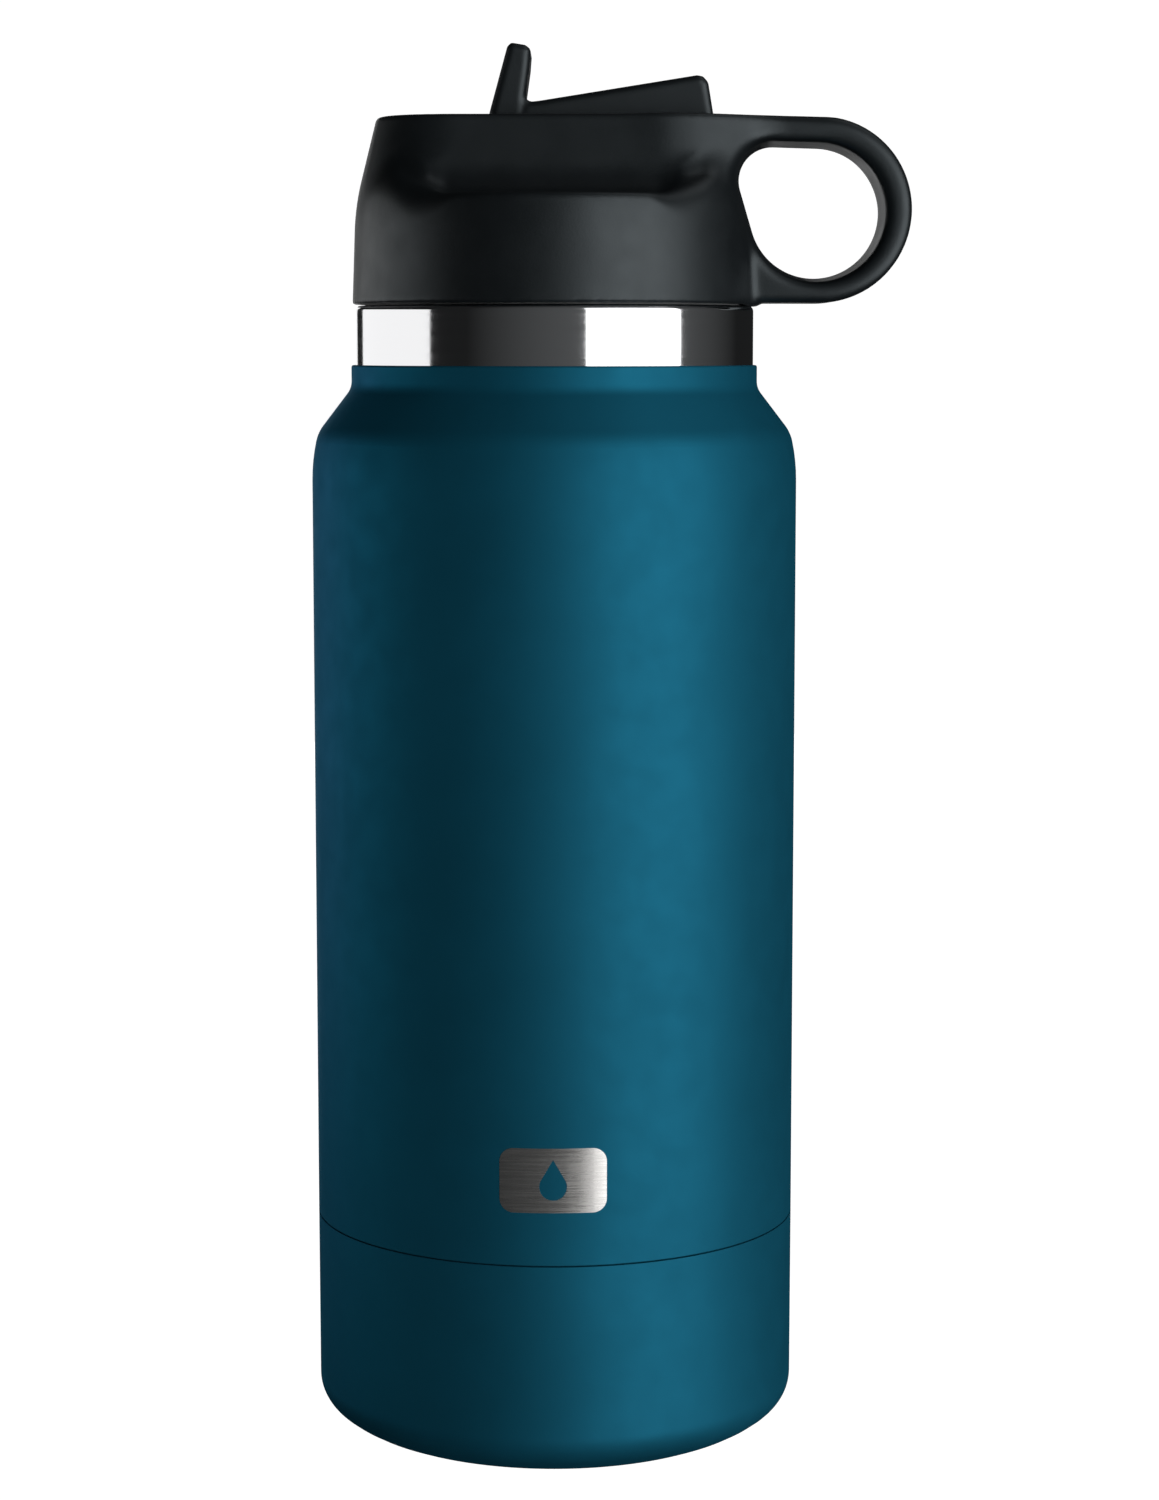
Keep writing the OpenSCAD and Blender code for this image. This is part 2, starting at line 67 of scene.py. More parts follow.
def corners_to_outline(corners, bend=6):
    """Points (r, z) along straight runs, with each corner (r, z, radius) rounded by an arc."""
    points = []
    for i, (r, z, radius) in enumerate(corners):
        if radius == 0 or i in (0, len(corners) - 1):
            points.append((r, z))
            continue
        here = np.array([r, z])
        to_last = np.array(corners[i - 1][:2]) - here
        to_next = np.array(corners[i + 1][:2]) - here
        to_last /= np.linalg.norm(to_last)
        to_next /= np.linalg.norm(to_next)
        half = math.acos(np.clip(to_last @ to_next, -1, 1)) / 2
        middle = (to_last + to_next) / np.linalg.norm(to_last + to_next)
        centre = here + middle * radius / math.sin(half)
        start = here + to_last * radius / math.tan(half) - centre
        sweep = math.pi - 2 * half
        steps = max(3, int(math.degrees(sweep) / bend))
        turn = math.copysign(sweep, start[0] * to_next[1] - start[1] * to_next[0])
        for s in range(steps + 1):
            a = turn * s / steps
            points.append(tuple(centre + [start[0] * math.cos(a) - start[1] * math.sin(a),
                                          start[0] * math.sin(a) + start[1] * math.cos(a)]))
    return points


def lathe_tree():
    """Geometry Nodes that turn a profile curve in the X-Z plane about Z, one ring of faces for each span."""
    tree = bpy.data.node_groups.new("lathe", "GeometryNodeTree")
    face = tree.interface
    face.new_socket("Profile", in_out="INPUT", socket_type="NodeSocketGeometry")
    face.new_socket("Steps", in_out="INPUT", socket_type="NodeSocketInt")
    face.new_socket("Finish", in_out="INPUT", socket_type="NodeSocketMaterial")
    face.new_socket("Turned", in_out="OUTPUT", socket_type="NodeSocketGeometry")
    link = tree.links.new

    def node(kind, **settings):
        made = tree.nodes.new(kind)
        for name, value in settings.items():
            setattr(made, name, value)
        return made

    def math_node(operation, a, b=None):
        made = node("ShaderNodeMath", operation=operation)
        for socket, value in zip(made.inputs, (a, b)):
            if isinstance(value, (int, float)):
                socket.default_value = value
            elif value is not None:
                link(value, socket)
        return made.outputs[0]

    given = node("NodeGroupInput")
    rows = node("GeometryNodeCurveToPoints", mode="EVALUATED")
    link(given.outputs["Profile"], rows.inputs["Curve"])
    count = node("GeometryNodeAttributeDomainSize", component="POINTCLOUD")
    link(rows.outputs["Points"], count.inputs["Geometry"])
    columns = math_node("ADD", given.outputs["Steps"], 1)
    grid = node("GeometryNodeMeshGrid")
    link(count.outputs["Point Count"], grid.inputs["Vertices X"])
    link(columns, grid.inputs["Vertices Y"])
    index = node("GeometryNodeInputIndex").outputs[0]
    row = math_node("FLOOR", math_node("DIVIDE", index, columns))
    column = math_node("MODULO", index, columns)
    angle = math_node("MULTIPLY", math_node("DIVIDE", column, given.outputs["Steps"]), 2 * math.pi)
    sample = node("GeometryNodeSampleIndex", data_type="FLOAT_VECTOR", domain="POINT")
    link(rows.outputs["Points"], sample.inputs["Geometry"])
    link(node("GeometryNodeInputPosition").outputs[0], sample.inputs["Value"])
    link(row, sample.inputs["Index"])
    split = node("ShaderNodeSeparateXYZ")
    link(sample.outputs["Value"], split.inputs[0])
    place = node("ShaderNodeCombineXYZ")
    link(math_node("MULTIPLY", split.outputs["X"], math_node("COSINE", angle)), place.inputs["X"])
    link(math_node("MULTIPLY", split.outputs["X"], math_node("SINE", angle)), place.inputs["Y"])
    link(split.outputs["Z"], place.inputs["Z"])
    moved = node("GeometryNodeSetPosition")
    link(grid.outputs["Mesh"], moved.inputs["Geometry"])
    link(place.outputs[0], moved.inputs["Position"])
    closed = node("GeometryNodeMergeByDistance")
    closed.inputs["Distance"].default_value = 1e-6
    link(moved.outputs[0], closed.inputs["Geometry"])
    real = node("GeometryNodeRealizeInstances")
    link(closed.outputs[0], real.inputs[0])
    finish = node("GeometryNodeSetMaterial")
    link(real.outputs[0], finish.inputs["Geometry"])
    link(given.outputs["Finish"], finish.inputs["Material"])
    link(finish.outputs[0], node("NodeGroupOutput").inputs[0])
    return tree


LATHE = lathe_tree()


def finish_piece(piece, body, replaced, sharp=32):
    """Points the faces outwards, shades smooth between edges, and puts the piece on its body."""
    shape = bmesh.new()
    shape.from_mesh(piece.data)
    bmesh.ops.remove_doubles(shape, verts=shape.verts, dist=1e-6)
    bmesh.ops.recalc_face_normals(shape, faces=shape.faces)
    shape.to_mesh(piece.data)
    shape.free()
    piece.data.shade_smooth()
    piece.data.set_sharp_from_angle(angle=math.radians(sharp))
    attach(piece, body)
    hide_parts(replaced)


def turned(name, outline, finish, steps=192):
    """A piece turned on the lathe from an outline of points (r, z) in millimetres."""
    curve = bpy.data.curves.new(name + "_profile", "CURVE")
    curve.dimensions = "3D"
    spline = curve.splines.new("POLY")
    spline.points.add(len(outline) - 1)
    for point, (r, z) in zip(spline.points, outline):
        point.co = (r * MM, 0, z * MM, 1)
    profile = bpy.data.objects.new(name + "_profile", curve)
    bpy.context.scene.collection.objects.link(profile)
    lathe = profile.modifiers.new("lathe", "NODES")
    lathe.node_group = LATHE
    sockets = {s.name: s.identifier for s in LATHE.interface.items_tree if s.in_out == "INPUT"}
    lathe[sockets["Steps"]] = steps
    lathe[sockets["Finish"]] = finish
    bpy.context.view_layer.update()
    evaluated = profile.evaluated_get(bpy.context.evaluated_depsgraph_get())
    mesh = bpy.data.meshes.new_from_object(evaluated)
    mesh.name = name
    piece = bpy.data.objects.new(name, mesh)
    bpy.context.scene.collection.objects.link(piece)
    profile.modifiers.remove(lathe)
    bpy.data.objects.remove(profile)
    return piece


class Finish:
    """A procedural material: one Principled shader, with patterns read at the object's own coordinates."""

    def __init__(self, name, color, roughness, metallic=0.0, **sockets):
        self.material = bpy.data.materials.new(name)
        self.material.use_nodes = True
        self.tree = self.material.node_tree
        self.shader = self.tree.nodes["Principled BSDF"]
        self.set(**{"Base Color": (*color, 1), "Roughness": roughness, "Metallic": metallic})
        self.set(**sockets)
        self.color, self.roughness = color, roughness
        self.where = self.tree.nodes.new("ShaderNodeTexCoord").outputs["Object"]
        self.material.diffuse_color = (*color, 1)

    def set(self, **sockets):
        for name, value in sockets.items():
            self.shader.inputs[name].default_value = value

    def noise(self, size, detail=2.0, stretch=(1, 1, 1)):
        """Noise whose grains are about size metres across."""
        mapping = self.tree.nodes.new("ShaderNodeMapping")
        mapping.inputs["Scale"].default_value = stretch
        self.tree.links.new(self.where, mapping.inputs["Vector"])
        made = self.tree.nodes.new("ShaderNodeTexNoise")
        made.inputs["Scale"].default_value = 1 / size
        made.inputs["Detail"].default_value = detail
        self.tree.links.new(mapping.outputs[0], made.inputs["Vector"])
        return made.outputs["Fac"]

    def range(self, value, low, high):
        """Spreads the middle of a noise, where nearly all of it lies, from low to high."""
        made = self.tree.nodes.new("ShaderNodeMapRange")
        for name, number in {"From Min": 0.3, "From Max": 0.7, "To Min": low, "To Max": high}.items():
            made.inputs[name].default_value = number
        self.tree.links.new(value, made.inputs["Value"])
        return made.outputs["Result"]

    def tint(self, value, amount):
        """The base colour, varied by plus and minus amount where the value varies."""
        mix = self.tree.nodes.new("ShaderNodeMix")
        mix.data_type = "RGBA"
        mix.inputs["A"].default_value = (*[c * (1 - amount) for c in self.color], 1)
        mix.inputs["B"].default_value = (*[c * (1 + amount) for c in self.color], 1)
        self.tree.links.new(self.range(value, 0, 1), mix.inputs["Factor"])
        self.tree.links.new(mix.outputs["Result"], self.shader.inputs["Base Color"])
        return self

    def gloss(self, value, amount):
        """The roughness, varied by plus and minus amount."""
        self.tree.links.new(self.range(value, self.roughness - amount, self.roughness + amount),
                            self.shader.inputs["Roughness"])
        return self

    def bump(self, value, depth):
        """Relief that stands depth metres high where the value is 1."""
        made = self.tree.nodes.new("ShaderNodeBump")
        made.inputs["Distance"].default_value = depth
        self.tree.links.new(value, made.inputs["Height"])
        self.tree.links.new(made.outputs[0], self.shader.inputs["Normal"])
        return self


def powder_coat():
    """Satin powder coat. It flows out into a fine orange peel."""
    paint = Finish("powder_coat", (0.011, 0.132, 0.212), 0.56, metallic=0.6)
    paint.set(**{"Specular IOR Level": 0.25, "Specular Tint": (0.02, 0.56, 0.9, 1), "IOR": 1.25})
    paint.tint(paint.noise(0.02), 0.05)
    paint.gloss(paint.noise(0.004), 0.03)
    paint.bump(paint.noise(0.0009, 3.0), 0.000012)
    return paint.material


POWDER_COAT = powder_coat()
cup_low, cup_high = (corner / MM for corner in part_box("base_cup"))
body_r = cup_high.x
cup_wall = 0.9
pad_seat_r = 26.1
pad_seat_z = cup_low.z + 0.8
floor_z = cup_low.z + 1.6
# The corner at the foot is a wide arc that tightens as it turns up into the wall.
cup = turned("cup", corners_to_outline([
    (0, pad_seat_z, 0), (pad_seat_r, pad_seat_z, 0.1), (pad_seat_r, cup_low.z, 0.2),
    (body_r - 5.5, cup_low.z, 12.5), (body_r - 0.05, cup_low.z + 4.57, 5.5),
    (body_r, cup_high.z, 0.1), (body_r - cup_wall, cup_high.z, 0.3),
    (body_r - cup_wall, floor_z, 6.4), (0, floor_z, 0)]), POWDER_COAT)
finish_piece(cup, "base_cup", "base_cup")

# Silicone grip band, foam landing pad and non-slip disc. The band is bonded inside the cup and its ribs
# squeeze the foot of the bottle. The disc is glued into a shallow seat under the cup.


def dress(node, finish):
    """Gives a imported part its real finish."""
    mesh = nodes[node].data
    mesh.materials.clear()
    mesh.materials.append(finish)


def moulded_rubber(name, color, roughness, grain):
    rubber = Finish(name, color, roughness, **{"Specular IOR Level": 0.35})
    rubber.tint(rubber.noise(0.012), 0.15)
    rubber.gloss(rubber.noise(0.003), 0.05)
    rubber.bump(rubber.noise(grain, 2.0), 0.00002)
    return rubber.material


BLACK_RUBBER = moulded_rubber("black_rubber", (0.012, 0.012, 0.013), 0.75, 0.0006)
CLOSED_CELL_FOAM = moulded_rubber("closed_cell_foam", (0.03, 0.03, 0.032), 0.95, 0.0011)
dress("grip_band", BLACK_RUBBER)
dress("shock_pad", CLOSED_CELL_FOAM)

pad_low, pad_high = (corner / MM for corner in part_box("foot_pad"))
tread_pitch = 2.5
tread_start_r = 4
tread_depth = 0.35
tread_rings = 8


def tread_outline():
    """The disc from its middle out, with ring grooves in the face that it stands on."""
    corners = [(0, pad_high.z, 0), (0, pad_low.z, 0)]
    for ring in range(tread_rings):
        r = tread_start_r + ring * tread_pitch
        corners += [(r, pad_low.z, 0.15), (r + 0.25, pad_low.z + tread_depth, 0.1),
                    (r + 0.75, pad_low.z + tread_depth, 0.1), (r + 1, pad_low.z, 0.15)]
    corners += [(pad_high.x, pad_low.z, 0.4), (pad_high.x, pad_high.z, 0.1), (0, pad_high.z, 0)]
    return corners_to_outline(corners, bend=30)


foot = turned("foot_disc", tread_outline(), BLACK_RUBBER, steps=128)
finish_piece(foot, "base_cup", "foot_pad")

# ---- vacuum vessel ----------------------------------------------------------
# Two walls of 18/8 stainless with the air pumped out between them. The liner is electropolished, and
# carries the foil, the getter and the glass bead that closes the evacuation hole.


def plain_steel(name, color, roughness, brushing, run):
    """Stainless steel, brushed along the axis that run leaves long."""
    steel = Finish(name, color, roughness, metallic=1.0)
    strokes = steel.noise(brushing, 2.0, run)
    steel.gloss(strokes, 0.06)
    steel.bump(strokes, 0.000004)
    return steel.material


LINER_STEEL = plain_steel("liner_steel", (0.62, 0.61, 0.60), 0.28, 0.0012, (1, 1, 12))
SPUN_STEEL = plain_steel("spun_steel", (0.55, 0.54, 0.53), 0.34, 0.0010, (1, 1, 9))
BRIGHT_FOIL = plain_steel("bright_foil", (0.90, 0.90, 0.91), 0.18, 0.006, (1, 1, 1))
for node in ("inner_liner", "liner_bottom"):
    dress(node, LINER_STEEL)
for node in ("shell_bottom", "seal_cover_disc", "getter_capsule"):
    dress(node, SPUN_STEEL)
dress("foil_wrap", BRIGHT_FOIL)
sealing_glass = Finish("sealing_glass", (0.10, 0.16, 0.14), 0.12, **{"Specular IOR Level": 0.6})
sealing_glass.tint(sealing_glass.noise(0.001), 0.3)
dress("vacuum_seal_bead", sealing_glass.material)

# Painted outer wall. It is spun in at the top to a collar that is welded round the neck, and steps in
# below the seam so that the base cup sits flush.
shell_low, shell_high = (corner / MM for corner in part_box("outer_shell"))
band_low, band_high = (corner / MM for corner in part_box("neck_band"))
seam_gap = 0.08
seam_z = cup_high.z + seam_gap
shell_wall = 0.6
band_r = band_high.x
collar_r = band_r + shell_wall
foot_r = 34.3
collar_z = shell_high.z - 3.4              # where the collar would meet the sloping shoulder
shoulder_lean = math.radians(37.4)
corner_z = collar_z - (body_r - 0.9 - collar_r) / math.tan(shoulder_lean)
easing_z = corner_z - 4.2
shell = turned("shell", corners_to_outline([
    (foot_r - shell_wall, shell_low.z, 0), (foot_r, shell_low.z, 0.2), (foot_r, seam_z, 0.3),
    (body_r, seam_z, 0.1), (body_r, easing_z, 28), (body_r - 0.9, corner_z, 6), (collar_r, collar_z, 3),
    (collar_r, shell_high.z, 0.3), (band_r, shell_high.z, 0.1), (band_r, collar_z, 3.4),
    (body_r - 1.5, corner_z, 5.4), (body_r - shell_wall, easing_z, 27),
    (body_r - shell_wall, seam_z + shell_wall, 0.2), (foot_r - shell_wall, seam_z + shell_wall, 0.2),
    (foot_r - shell_wall, shell_low.z, 0)], bend=3), POWDER_COAT)
finish_piece(shell, "bottle", "outer_shell", sharp=40)

# Polished neck band, spun from tube and rolled in at the top to make the drinking lip. It stays bare.


def polished_steel():
    steel = Finish("polished_steel", (0.80, 0.80, 0.81), 0.09, metallic=1.0)
    turning = steel.noise(0.0015, 2.0, (0.05, 0.05, 3))
    steel.gloss(turning, 0.02)
    steel.bump(turning, 0.0000015)
    return steel.material


POLISHED_STEEL = polished_steel()
lip_inner_r = 28.6
band_wall = 0.6
seat_z = band_high.z - 2.1
band = turned("drinking_band", corners_to_outline([
    (band_r - band_wall, band_low.z, 0), (band_r, band_low.z, 0.1), (band_r, band_high.z, 0.8),
    (lip_inner_r, band_high.z, 0.5), (lip_inner_r, seat_z, 0.1), (lip_inner_r + band_wall, seat_z, 0.1),
    (lip_inner_r + band_wall, band_high.z - band_wall, 0.2),
    (band_r - band_wall, band_high.z - band_wall, 0.2), (band_r - band_wall, band_low.z, 0)], bend=10),
    POLISHED_STEEL)
finish_piece(band, "bottle", "neck_band", sharp=40)

# Brushed steel badge, let flush into the paint and bent to the body. A plain drop is cut through it.
dress("badge", plain_steel("badge_steel", (0.60, 0.585, 0.57), 0.28, 0.0008, (0.06, 1, 6)))

# ---- lid --------------------------------------------------------------------
# The lid's shell is one moulding in matte black polypropylene: a round collar, a narrower head with
# scooped sides, the channel for the spout, and the fixed carry loop.


def join(a, b, blend):
    """Both shapes, run together with a hollow blend."""
    h = np.maximum(blend - np.abs(a - b), 0) / blend
    return np.minimum(a, b) - h * h * blend / 4


def keep(a, b, edge):
    """What both shapes hold, with a rounded edge."""
    return -join(-a, -b, edge)


def cut(a, b, edge):
    """The first shape without the second, with a rounded edge."""
    return -join(-a, b, edge)


def block(x, y, z, low, high, corner):
    """Distance to a box with rounded corners."""
    reach = [np.maximum(lo - v, v - hi) + corner for v, lo, hi in zip((x, y, z), low, high)]
    outside = np.sqrt(sum(np.maximum(r, 0) ** 2 for r in reach))
    return outside + np.minimum(np.maximum(np.maximum(reach[0], reach[1]), reach[2]), 0) - corner


def slab(side, across, half, edge):
    """A side outline given thickness, with rounded edges all round."""
    a, b = side + edge, np.abs(across) - half + edge
    return np.sqrt(np.maximum(a, 0) ** 2 + np.maximum(b, 0) ** 2) + np.minimum(np.maximum(a, b), 0) - edge


def round_ends(x, z, end_a, end_b):
    """Distance to the outline round two circles (x, z, r) and their two tangents."""
    (xa, za, ra), (xb, zb, rb) = end_a, end_b
    run = math.hypot(xb - xa, zb - za)
    along = ((x - xa) * (xb - xa) + (z - za) * (zb - za)) / run
    off = np.abs((x - xa) * (zb - za) - (z - za) * (xb - xa)) / run
    s = (ra - rb) / run
    c = math.sqrt(1 - s * s)
    k = off * -s + along * c
    return np.where(k < 0, np.hypot(off, along) - ra,
                    np.where(k > c * run, np.hypot(off, along - run) - rb, off * c + along * s - ra))


def outline_field(x, z, corners):
    """Distance to a closed outline of straight runs."""
    nearest = np.full(x.shape, 1e9)
    inside = np.zeros(x.shape, bool)
    for (xa, za), (xb, zb) in zip(corners, corners[1:] + corners[:1]):
        ex, ez = xb - xa, zb - za
        t = np.clip(((x - xa) * ex + (z - za) * ez) / (ex * ex + ez * ez), 0, 1)
        nearest = np.minimum(nearest, np.hypot(x - xa - t * ex, z - za - t * ez))
        if ez:
            crosses = ((za > z) != (zb > z)) & (x < xa + ex * (z - za) / ez)
            inside ^= crosses
    return np.where(inside, -nearest, nearest)


def skin(name, field, low, high, step, finish):
    """The surface where the field is zero, as quads: one point in each cell that it crosses, slid onto it."""
    axes = [np.arange(lo - 2.5 * step, hi + 2.5 * step, step) for lo, hi in zip(low, high)]
    value = field(*np.meshgrid(*axes, indexing="ij"))
    cells = tuple(n - 1 for n in value.shape)
    total, count = np.zeros((*cells, 3)), np.zeros(cells, int)
    crossings = []
    for axis in range(3):
        a = value[tuple(slice(None, -1) if i == axis else slice(None) for i in range(3))]
        b = value[tuple(slice(1, None) if i == axis else slice(None) for i in range(3))]
        at = np.argwhere((a < 0) != (b < 0))
        va, vb = a[tuple(at.T)], b[tuple(at.T)]
        point = at.astype(float)
        point[:, axis] += va / (va - vb)
        u, v = [i for i in range(3) if i != axis]
        around = []
        for du, dv in ((0, 0), (1, 0), (1, 1), (0, 1)):
            cell = at.copy()
            cell[:, u] -= du
            cell[:, v] -= dv
            around.append(cell)
            np.add.at(total, tuple(cell.T), point)
            np.add.at(count, tuple(cell.T), 1)
        crossings.append((around, (va < 0) != (axis == 1)))
    used = np.argwhere(count > 0)
    number = np.full(cells, -1)
    number[tuple(used.T)] = np.arange(len(used))
    start = np.array([a[0] for a in axes])
    points = start + step * total[tuple(used.T)] / count[tuple(used.T)][:, None]
    reach = step / 8
    nudge = reach * np.eye(3)
    for _ in range(4):
        here = field(*points.T)
        slope = np.stack([field(*(points + aside).T) - field(*(points - aside).T) for aside in nudge], 1)
        slope /= 2 * reach
        slide = here[:, None] * slope / np.maximum((slope ** 2).sum(1), 0.05)[:, None]
        points -= np.clip(slide, -step / 2, step / 2)
    quads = []
    for around, forward in crossings:
        corners = np.stack([number[tuple(c.T)] for c in around], 1)
        corners[~forward] = corners[~forward][:, ::-1]
        quads.append(corners)
    mesh = bpy.data.meshes.new(name)
    mesh.from_pydata((points * MM).tolist(), [], np.concatenate(quads).tolist())
    mesh.materials.append(finish)
    piece = bpy.data.objects.new(name, mesh)
    bpy.context.scene.collection.objects.link(piece)
    return piece


def matte_polypropylene():
    """Black polypropylene from a spark-eroded mould, with a fine even grain."""
    plastic = Finish("matte_black", (0.0034, 0.0050, 0.0062), 0.45)
    plastic.set(**{"Specular IOR Level": 0.68, "Specular Tint": (0.84, 0.95, 1.0, 1)})
    plastic.tint(plastic.noise(0.015), 0.08)
    plastic.gloss(plastic.noise(0.004), 0.03)
    plastic.bump(plastic.noise(0.00035, 2.0), 0.000010)
    return plastic.material


MATTE_BLACK = matte_polypropylene()
lid_low, lid_high = (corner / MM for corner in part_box("lid_shell"))
pin_low, pin_high = (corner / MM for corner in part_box("hinge_pins"))
pivot_x, pivot_z = (pin_low.x + pin_high.x) / 2, (pin_low.z + pin_high.z) / 2
skirt_z, lid_top = lid_low.z, lid_high.z
skirt_r = 30.25
skirt_draft = 0.036                        # inwards for each millimetre up
head_r = 28.87                             # where the head starts to lean in
head_z = lid_top - 9.6
head_draft = 0.251
waist_half = 13.0                          # half the width of the head's flats, at the top
waist_draft = 0.25
ledge_z = skirt_z + 15.6
ledge_r = 29.6
ledge_half = 16.0                          # half the width of the head's flats, at the ledge
ledge_lift = 7.0                           # how far the ledge runs up at its ends
loop_half = 8.0
loop_r = 13.65
loop_x = lid_high.x - loop_r + 0.1
loop_z = skirt_z + loop_r + 0.2
loop_start_x = 16.0
web_z = lid_top - 15.6                     # from here up, a wide fillet joins the loop and the head
web_rise = 8.0
eye_ends = (32.6, 190.35, 4.95), (38.9, 185.5, 9.6)
eye_draft = 0.09
channel_half = 8.0
drum_floor_z = pivot_z - 6.5
nozzle_floor_z = pivot_z - 3.0
skirt_bore_r = 28.5
cavity_r = 27.0
cavity_z = skirt_z + 13.5
port_r = 5.6
vent_x, vent_r = 13.0, 0.9


def rise(v, low, high):
    """Runs smoothly from 0 to 1 between low and high."""
    t = np.clip((v - low) / (high - low), 0, 1)
    return t * t * (3 - 2 * t)


def deck_hole(x, y, z, at_x, r, top):
    """Upright hole from the cavity into the channel."""
    return keep(keep(np.hypot(x - at_x, y) - r, z - top, 0.3), cavity_z - 2.5 - z, 0.3)


def lid_field(x, y, z):
    r = np.hypot(x, y)
    wall = keep(r - skirt_r + skirt_draft * (z - skirt_z), r - head_r + head_draft * (z - head_z), 0.8)
    wall = keep(wall, skirt_z - z, 0.5)
    flats = (np.abs(y) - waist_half - waist_draft * (lid_top - z)) / math.hypot(1, waist_draft)
    ledge_depth = np.sqrt(np.maximum(ledge_r ** 2 - x * x, 0)) - ledge_half
    ledge = ledge_z + ledge_lift * rise(np.abs(x), 15, 26)
    waist = join(flats, z - ledge, np.clip(0.6 * ledge_depth, 2.5, 5.0))
    softness = np.maximum(rise(z, ledge_z + 0.5, ledge_z + 7), rise(np.abs(x), 13, 22))
    body = keep(keep(wall, waist, 0.9 + 6.5 * softness), z - lid_top, 0.7)
    bar_ends = np.maximum(loop_z - z, z - loop_z - 0.05 * (loop_x - x))
    bar_side = np.where(x < loop_x, bar_ends, np.hypot(x - loop_x, z - loop_z)) - loop_r
    bar_side = keep(bar_side, loop_start_x - x, 1.0)
    loop = slab(bar_side, y, loop_half, 1.5)
    shape = join(body, loop, 1.5 + 7.5 * rise(z, web_z, web_z + web_rise))
    shape = keep(shape, z - lid_top, 0.5)
    shape = cut(shape, round_ends(x, z, *eye_ends) - eye_draft * np.abs(y), 1.6)
    drum_well = block(x, y, z, (-20.8, -channel_half, drum_floor_z), (4, channel_half, lid_top + 40), 1.2)
    nozzle_well = block(x, y, z, (-2, -channel_half, nozzle_floor_z), (25.6, channel_half, lid_top + 40), 1.2)
    shape = cut(shape, join(drum_well, nozzle_well, 0.5), 1.2)
    shape = cut(shape, keep(r - skirt_bore_r, z - skirt_z - 2, 0.3), 0.6)
    shape = cut(shape, keep(r - cavity_r, z - cavity_z, 2.0), 0.4)
    shape = cut(shape, deck_hole(x, y, z, pivot_x, port_r, drum_floor_z + 1.9), 0.4)
    return cut(shape, deck_hole(x, y, z, vent_x, vent_r, nozzle_floor_z + 1.4), 0.4)


lid = skin("lid_moulding", lid_field, lid_low, lid_high, 0.5, MATTE_BLACK)
finish_piece(lid, "lid", "lid_shell", sharp=180)

# Inside the lid: the threaded plug with its foam, the gasket, the seal under the spout, the two steel
# pins, the straw and the small valve that lets air in.
dress("lid_plug", moulded_rubber("plug_black", (0.018, 0.019, 0.020), 0.5, 0.0009))
dress("lid_foam", moulded_rubber("pale_foam", (0.70, 0.67, 0.58), 0.95, 0.0012))
dress("lid_gasket", moulded_rubber("grey_silicone", (0.33, 0.34, 0.35), 0.55, 0.0007))
dress("spout_seal", moulded_rubber("dark_silicone", (0.035, 0.035, 0.038), 0.6, 0.0007))
dress("vent_valve", moulded_rubber("clear_silicone", (0.62, 0.62, 0.60), 0.45, 0.0008))
dress("straw", moulded_rubber("straw_plastic", (0.58, 0.61, 0.63), 0.35, 0.0020))
dress("hinge_pins", SPUN_STEEL)

# ---- spout ------------------------------------------------------------------
# One moulding: a drum that turns on the pins, a thumb tab that stands up, and the nozzle that folds
# down into the channel. The bore runs through the nozzle and the drum.
spout_low, spout_high = (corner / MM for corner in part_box("spout"))
spout_half = spout_high.y
drum_r = 6.0
nozzle_tilt = math.radians(9.3)
drink_bore_r = 2.6
pin_hole_r = 1.55
pin_hole_start = 4.5
# Side outlines of the tab and the nozzle, as (x, z) from the pivot and inside their rounded edges
tab_corners = [(-5.1, 0.6), (-5.05, 5.3), (-2.45, 14.75), (-2.1, 15.1), (-0.3, 14.8), (0.15, 14.4), (0, 12.4),
               (-0.7, 7.4), (-0.7, 0.4)]
nozzle_corners = [(0, -1.9), (0, 6.3), (25.1, 10.3), (25.7, 10.2), (26.25, 9.6), (28.0, -0.9), (27.5, -1.9),
                  (5, -1.9)]


def spout_field(x, y, z):
    u, w = x - pivot_x, z - pivot_z
    drum = np.hypot(u, w) - drum_r
    tab = outline_field(u, w, tab_corners) - 0.45
    nozzle = outline_field(u, w, nozzle_corners) - 0.55
    shape = slab(join(np.minimum(drum, tab), nozzle, 1.6), y, spout_half, 1.1)
    across = w * math.cos(nozzle_tilt) - u * math.sin(nozzle_tilt)
    shape = cut(shape, np.hypot(across, y) - drink_bore_r, 1.0)
    pin_hole = np.hypot(u, w) - pin_hole_r
    return cut(shape, keep(pin_hole, pin_hole_start - np.abs(y), 0.2), 0.3)


spout = skin("spout_moulding", spout_field, spout_low, spout_high, 0.34, MATTE_BLACK)
finish_piece(spout, "spout", "spout", sharp=180)

# ---- studio -----------------------------------------------------------------
# A pale sweep all round, a tall soft light in front on the right, a low wide one behind on the left, and
# small ones behind and overhead. The room beyond is nearly dark.


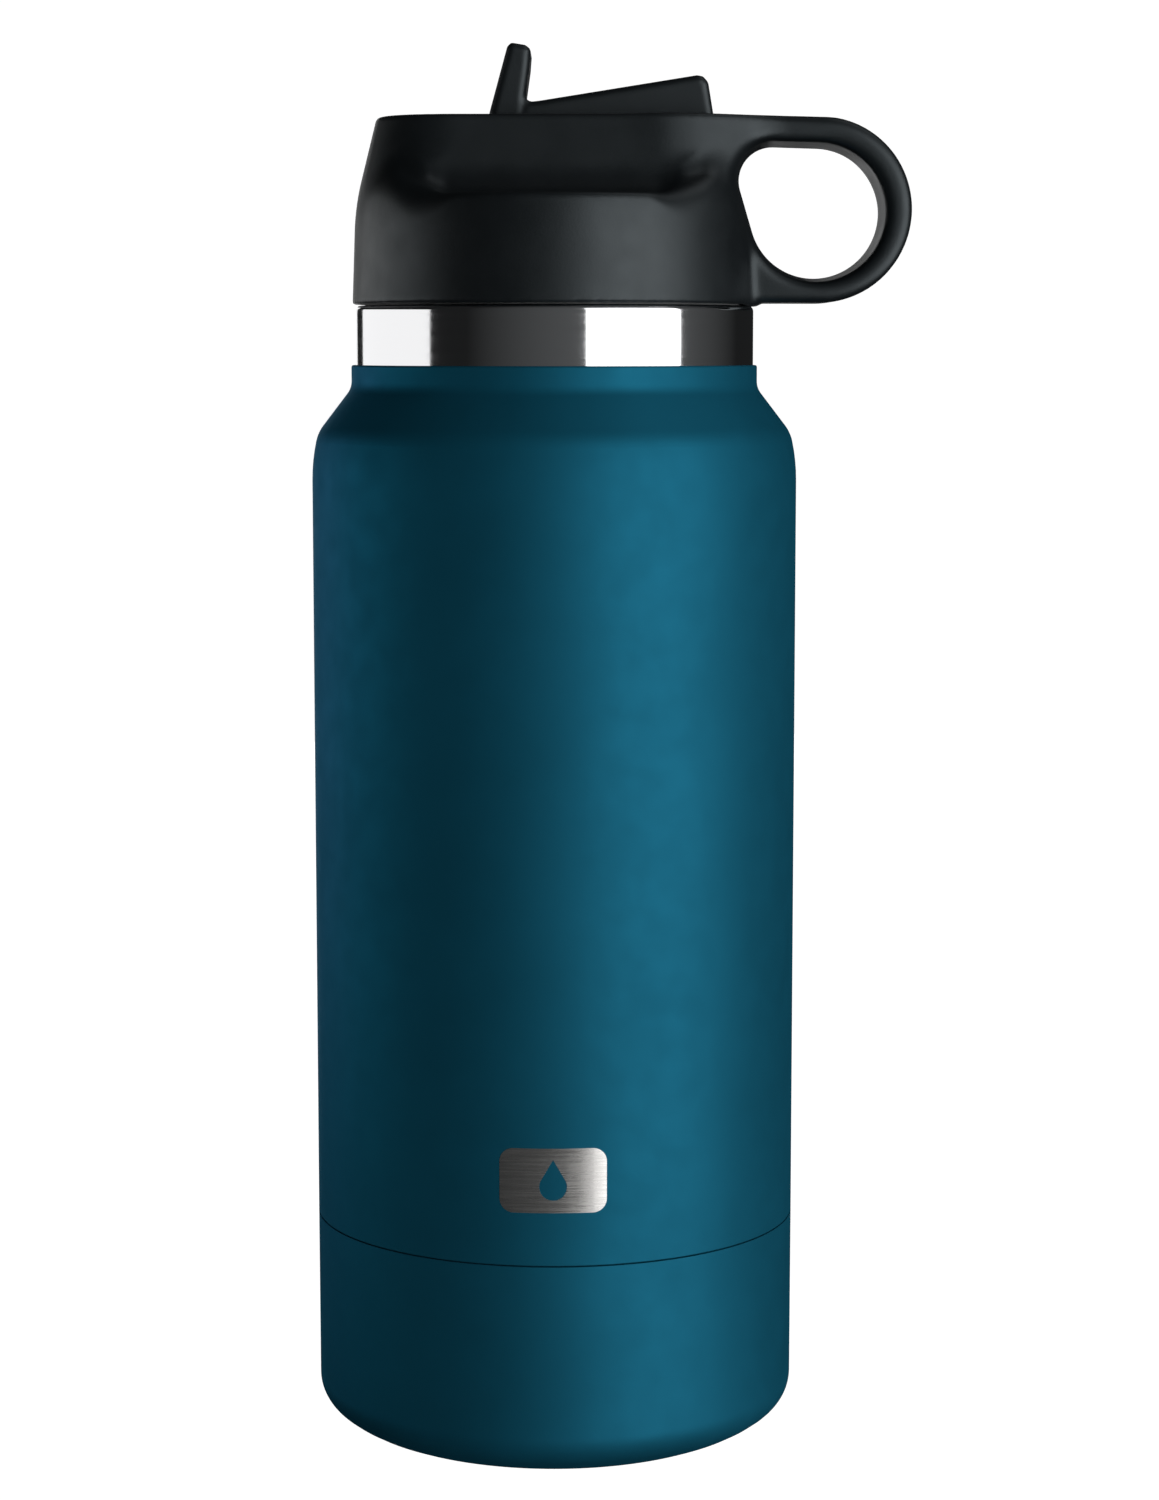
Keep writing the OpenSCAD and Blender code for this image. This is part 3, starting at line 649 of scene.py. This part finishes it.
def pale_sweep():
    """Round floor that curves up into a wall. It lies low enough for the base cup to come off above it."""
    flat_r, bend_r = 1.6, 0.8
    floor_depth = 0.035
    bends = np.linspace(0, math.pi / 2, 13)[1:]
    outline = [(r, 0) for r in (0.0, 0.2, 0.6, flat_r)]
    outline += [(flat_r + bend_r * math.sin(a), bend_r - bend_r * math.cos(a)) for a in bends]
    outline += [(flat_r + bend_r, 3 * bend_r)]
    steps = 64
    floor = cad_box[0][2] - floor_depth
    around = [2 * math.pi * i / steps for i in range(steps)]
    points = [(r * math.cos(a), r * math.sin(a), z + floor) for r, z in outline for a in around]
    faces = [(k + i, k + (i + 1) % steps, k + steps + (i + 1) % steps, k + steps + i)
             for k in range(0, steps * (len(outline) - 1), steps) for i in range(steps)]
    mesh = bpy.data.meshes.new("sweep")
    mesh.from_pydata(points, [], faces)
    mesh.shade_smooth()
    sweep = bpy.data.objects.new("sweep", mesh)
    bpy.context.scene.collection.objects.link(sweep)
    sweep.visible_diffuse = sweep.visible_glossy = sweep.visible_shadow = False
    paper = Finish("pale_paper", (0.35, 0.35, 0.35), 0.9)
    paper.set(**{"Emission Color": (1, 1, 1, 1), "Emission Strength": 1.0})
    mesh.materials.append(paper.material)


def soft_light(name, azimuth, distance, height, size, power):
    """A rectangular light turned to the bottle. Azimuth is in degrees, from the front towards the loop."""
    middle = 0.11
    light = bpy.data.lights.new(name, "AREA")
    light.shape = "RECTANGLE"
    light.size, light.size_y = size
    light.energy = power
    lamp = bpy.data.objects.new(name, light)
    turn = math.radians(azimuth)
    lamp.location = (distance * math.sin(turn), -distance * math.cos(turn), height)
    lamp.rotation_euler = (math.atan2(distance, height - middle), 0, turn)
    bpy.context.scene.collection.objects.link(lamp)


def dim_room():
    """Dark grey surroundings, a little lighter in front on the right."""
    world = bpy.data.worlds.new("studio")
    world.use_nodes = True
    tree = world.node_tree
    ahead = tree.nodes.new("ShaderNodeVectorMath")
    ahead.operation = "DOT_PRODUCT"
    ahead.inputs[1].default_value = (0.64, -0.77, 0)
    tree.links.new(tree.nodes.new("ShaderNodeTexCoord").outputs["Generated"], ahead.inputs[0])
    grey = tree.nodes.new("ShaderNodeMapRange")
    grey.inputs["To Min"].default_value = 0.013
    grey.inputs["To Max"].default_value = 0.095
    tree.links.new(ahead.outputs["Value"], grey.inputs["Value"])
    tree.links.new(grey.outputs["Result"], tree.nodes["Background"].inputs["Strength"])
    tree.nodes["Background"].inputs["Color"].default_value = (0.94, 0.98, 1.0, 1)
    bpy.context.scene.world = world


pale_sweep()
soft_light("front_right", 47.2, 0.9, 0.12, (1.0, 1.2), 8.0)
soft_light("back_left", -108.5, 0.9, 0.12, (1.24, 0.42), 1.8)
soft_light("behind", -172, 1.2, 0.16, (0.6, 0.8), 1.6)
soft_light("overhead", 100, 0.45, 1.0, (0.5, 0.5), 0.5)
dim_room()
bpy.context.scene.view_settings.view_transform = "Standard"

# The camera stands half a metre in front, level with the neck, and looks slightly down.
camera = bpy.data.objects.new("camera", bpy.data.cameras.new("camera"))
camera.data.lens = 81.3
camera.data.sensor_width = 36
camera.data.clip_start = 0.01
camera.location = (0.0038, -0.5137, 0.1661)
camera.rotation_euler = (math.radians(90 - 6.83), 0, 0)
bpy.context.scene.collection.objects.link(camera)
bpy.context.scene.camera = camera
